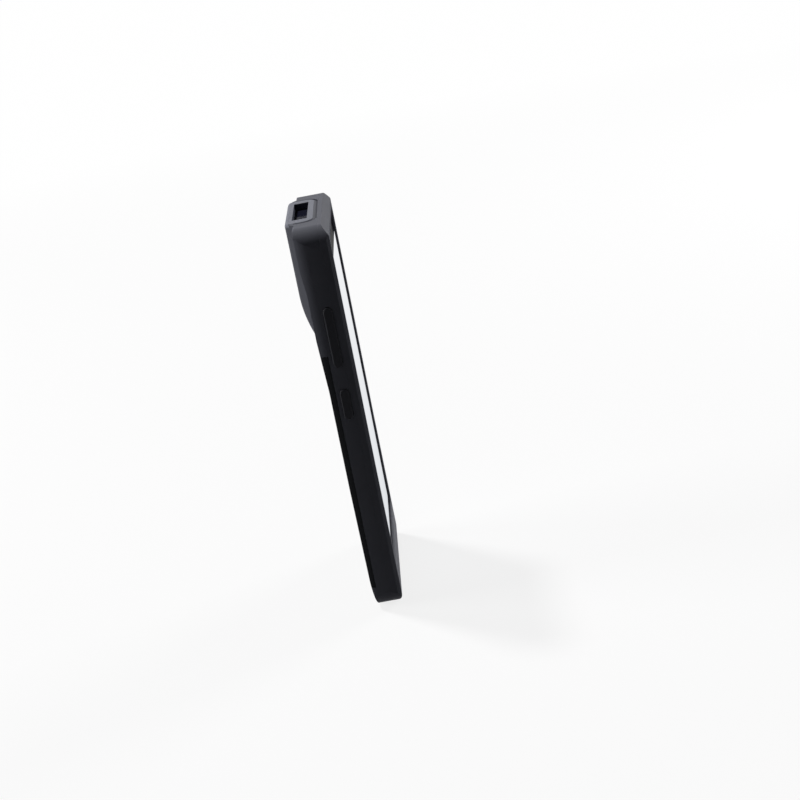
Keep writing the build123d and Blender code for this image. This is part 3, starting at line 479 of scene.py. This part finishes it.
def turned_piece(name, profile, centre, finish, faces_back=False, steps=ROUND_STEPS):
    """A turned piece: a closed profile of (radius, height), spun round an upright axis, on the housing.

    faces_back lays it over, so that its top faces the back of the handset.
    """
    form = bmesh.new()
    points = [form.verts.new((radius, 0, height)) for radius, height in profile]
    edges = [form.edges.new(pair) for pair in zip(points, points[1:])]
    bmesh.ops.spin(
        form, geom=points + edges, cent=(0, 0, 0), axis=(0, 0, 1), dvec=(0, 0, 0),
        angle=math.tau, steps=steps, use_merge=True,
    )
    bmesh.ops.remove_doubles(form, verts=form.verts, dist=MERGE_DISTANCE)
    if faces_back:
        lay_over = Matrix.Rotation(-math.pi / 2, 3, "X")
        bmesh.ops.rotate(form, cent=(0, 0, 0), matrix=lay_over, verts=form.verts)
    bmesh.ops.translate(form, vec=centre, verts=form.verts)
    bmesh.ops.scale(form, vec=(MM, MM, MM), verts=form.verts)
    bmesh.ops.recalc_face_normals(form, faces=form.faces)
    mesh = bpy.data.meshes.new(name)
    form.to_mesh(mesh)
    form.free()
    mesh.materials.append(finish)
    piece = bpy.data.objects.new(name, mesh)
    bpy.context.scene.collection.objects.link(piece)
    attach(piece, HOUSING_BODY)


def dome_profile(radius, base, height):
    """The profile of a lens: a shallow dome on a flat base, from its top to the middle of its base."""
    turns = [step / DOME_STEPS * math.pi / 2 for step in range(DOME_STEPS + 1)]
    return [(radius * math.sin(turn), base + height * math.cos(turn)) for turn in turns] + [(0.0, base)]


def rear_camera_lens():
    """The stepped ring and the coated lens under the rear camera's window."""
    centre = (REAR_CAMERA_X, BARREL_TOP_Y, CAMERA_ROW_Z)
    turned_piece(
        "rear_camera_ring", REAR_RING, centre, LENS_BARREL, faces_back=True, steps=RING_STEPS
    )
    dome = dome_profile(radius=1.25, base=0.0, height=0.17)
    turned_piece("rear_camera_lens", dome, centre, COATED_LENS, faces_back=True)


def flash_rings():
    """The moulded rings in the face of the camera light's lens."""
    profile = [(0.0, FLASH_RING_HEIGHT)]
    for ring in range(FLASH_RING_COUNT):
        outer = (ring + 1) * FLASH_RING_WIDTH
        profile += [(outer, FLASH_RING_HEIGHT), (outer, FLASH_GROOVE_HEIGHT)]
        if ring < FLASH_RING_COUNT - 1:
            profile.append((outer + FLASH_RING_SLOPE, FLASH_RING_HEIGHT))
    profile += [(FLASH_RING_COUNT * FLASH_RING_WIDTH, FLASH_BASE_HEIGHT), (0.0, FLASH_BASE_HEIGHT)]
    centre = (FLASH_X, FLASH_TOP_Y, CAMERA_ROW_Z)
    turned_piece("flash_rings", profile, centre, LIGHT_LENS, faces_back=True)


def scan_engine_lenses():
    """The scanner's imager and aiming lenses, and its two lights, seen through the tinted window."""
    imager = dome_profile(radius=2.15, base=0.6, height=0.45)
    aimer = dome_profile(radius=1.1, base=0.4, height=0.4)
    light = dome_profile(radius=0.9, base=0.2, height=0.4)
    pieces = (
        ("imager_ring", IMAGER_X, IMAGER_RING, LENS_BARREL, "lens_glass"),
        ("imager_dome", IMAGER_X, imager, COATED_LENS, "lens_glass"),
        ("aimer_dome", AIMER_X, aimer, COATED_LENS, "lens_glass"),
        ("scan_light_left", LEFT_LIGHT_X, light, LIGHT_LENS, "clear_plastic"),
        ("scan_light_right", RIGHT_LIGHT_X, light, LIGHT_LENS, "clear_plastic"),
    )
    for name, place_x, profile, finish, slot in pieces:
        turned_piece(name, profile, (place_x, ENGINE_ROW_Y, ENGINE_FACE_Z), finish)


# ---- studio ------------------------------------------------------------------------------
FILL = (0.036, 0.036, 0.039)  # the even light from all round
FLOOR_HALF = 30.0
FLOOR_DROP = 0.05 * MM       # a hair below the handset's end, so that the two don't share a plane
FLOOR_SEEN = (0.9, 0.9, 0.9)
FLOOR_LIGHTING = (0.10, 0.10, 0.10)
FLOOR_MIRRORED_DARK = 0.03
DARK_SIDE_END = -0.36        # the floor mirrors as dark beyond this X, and as white from the next one
WHITE_SIDE_START = -0.12
GLOW_NEAR = 0.82             # share of the floor that glows by itself, so that its shadow stays faint
GLOW_FAR = 0.995
GLOW_NEAR_REACH = 0.3        # how far out the near share holds, and from where the far one does
GLOW_FAR_REACH = 1.4
CARD_PLACE = (-0.95, 0, 0.85)
CARD_WIDTH = 2.4
CARD_HEIGHT = 1.6
CARD_BLACK = (0.02, 0.02, 0.02)
SUN_FROM = Vector((0.33, 0.34, 0.88))
SUN_STRENGTH = 1.8
SUN_ANGLE = math.radians(7.0)
FRONT_PLACE = (0.72, -0.97, 0.44)
FRONT_SIDE = 0.5
FRONT_POWER = 7.6
BACK_PLACE = (0.12, 1.2, 0.44)
BACK_SIDE = 0.6
BACK_POWER = 10.0


def make_world():
    """White behind the object and in its reflections, and a dim even fill on its surfaces."""
    world = bpy.data.worlds.new("studio")
    bpy.context.scene.world = world
    world.use_nodes = True
    tree = world.node_tree
    tree.nodes.clear()
    _, seen = seeing_rays(tree)
    background = add_node(tree, "Background", Color=mix_colours(tree, seen, FILL, WHITE), Strength=1.0)
    show_on_surface(tree, background, "ShaderNodeOutputWorld")


def add_flat(name, size_x, size_y, place, facing):
    """A single rectangle in the scene, not part of the object."""
    mesh = bpy.data.meshes.new(name)
    form = bmesh.new()
    bmesh.ops.create_grid(form, x_segments=1, y_segments=1, size=0.5)
    bmesh.ops.scale(form, vec=(size_x, size_y, 1.0), verts=form.verts)
    form.to_mesh(mesh)
    form.free()
    flat = bpy.data.objects.new(name, mesh)
    flat.location = place
    flat.rotation_euler = Vector(facing).to_track_quat("Z", "Y").to_euler()
    bpy.context.scene.collection.objects.link(flat)
    return flat


def make_floor():
    """The plain pale floor: near white to the camera, with a faint shadow. Its left side mirrors as dark."""
    floor = add_flat("floor", 2 * FLOOR_HALF, 2 * FLOOR_HALF, (0, 0, -FLOOR_DROP), (0, 0, 1))
    material, tree = new_material("floor")
    camera_ray, seen = seeing_rays(tree)
    across, along, _ = object_axes(tree)
    mirrored = remap(tree, across, DARK_SIDE_END, WHITE_SIDE_START, FLOOR_MIRRORED_DARK, 1.0)
    glow = add_node(tree, "Emission", Color=WHITE, Strength=maths(tree, "MAXIMUM", camera_ray, mirrored))
    reach = distance_from(tree, across, along)
    glow_share = remap(tree, reach, GLOW_NEAR_REACH, GLOW_FAR_REACH, GLOW_NEAR, GLOW_FAR)
    matt = add_node(tree, "BsdfDiffuse", Color=mix_colours(tree, seen, FLOOR_LIGHTING, FLOOR_SEEN))
    show_on_surface(tree, mix_shaders(tree, maths(tree, "MULTIPLY", seen, glow_share), matt, glow))
    floor.data.materials.append(material)


def make_dark_card():
    """A black card on the near side that only reflections and the fill see: it keeps the near wall dark."""
    card = add_flat("dark_card", CARD_WIDTH, CARD_HEIGHT, CARD_PLACE, (1, 0, 0))
    card.visible_camera = False
    card.visible_shadow = False
    material, tree = new_material("dark_card")
    show_on_surface(tree, add_node(tree, "BsdfDiffuse", Color=CARD_BLACK))
    card.data.materials.append(material)


def add_lamp(name, kind, power, light_from):
    """A lamp that shines from a direction."""
    data = bpy.data.lights.new(name, kind)
    data.energy = power
    lamp = bpy.data.objects.new(name, data)
    lamp.rotation_euler = light_from.to_track_quat("Z", "Y").to_euler()
    bpy.context.scene.collection.objects.link(lamp)
    return lamp


def make_sun():
    """The main light: soft, high, and from behind the handset on its far side."""
    sun = add_lamp("key_light", "SUN", SUN_STRENGTH, SUN_FROM)
    sun.data.angle = SUN_ANGLE


def light_card(name, place, side, power):
    """A soft square lamp at a place, turned to the handset's middle."""
    lamp = add_lamp(name, "AREA", power, Vector(place) - BODY_MIDDLE)
    lamp.location = place
    lamp.data.shape = "SQUARE"
    lamp.data.size = side


make_camera()
dress_cad_nodes()
rear_camera_lens()
flash_rings()
scan_engine_lenses()
make_world()
make_floor()
make_dark_card()
make_sun()
light_card("front_lamp", FRONT_PLACE, FRONT_SIDE, FRONT_POWER)
light_card("back_lamp", BACK_PLACE, BACK_SIDE, BACK_POWER)
bpy.context.scene.view_settings.view_transform = "Standard"
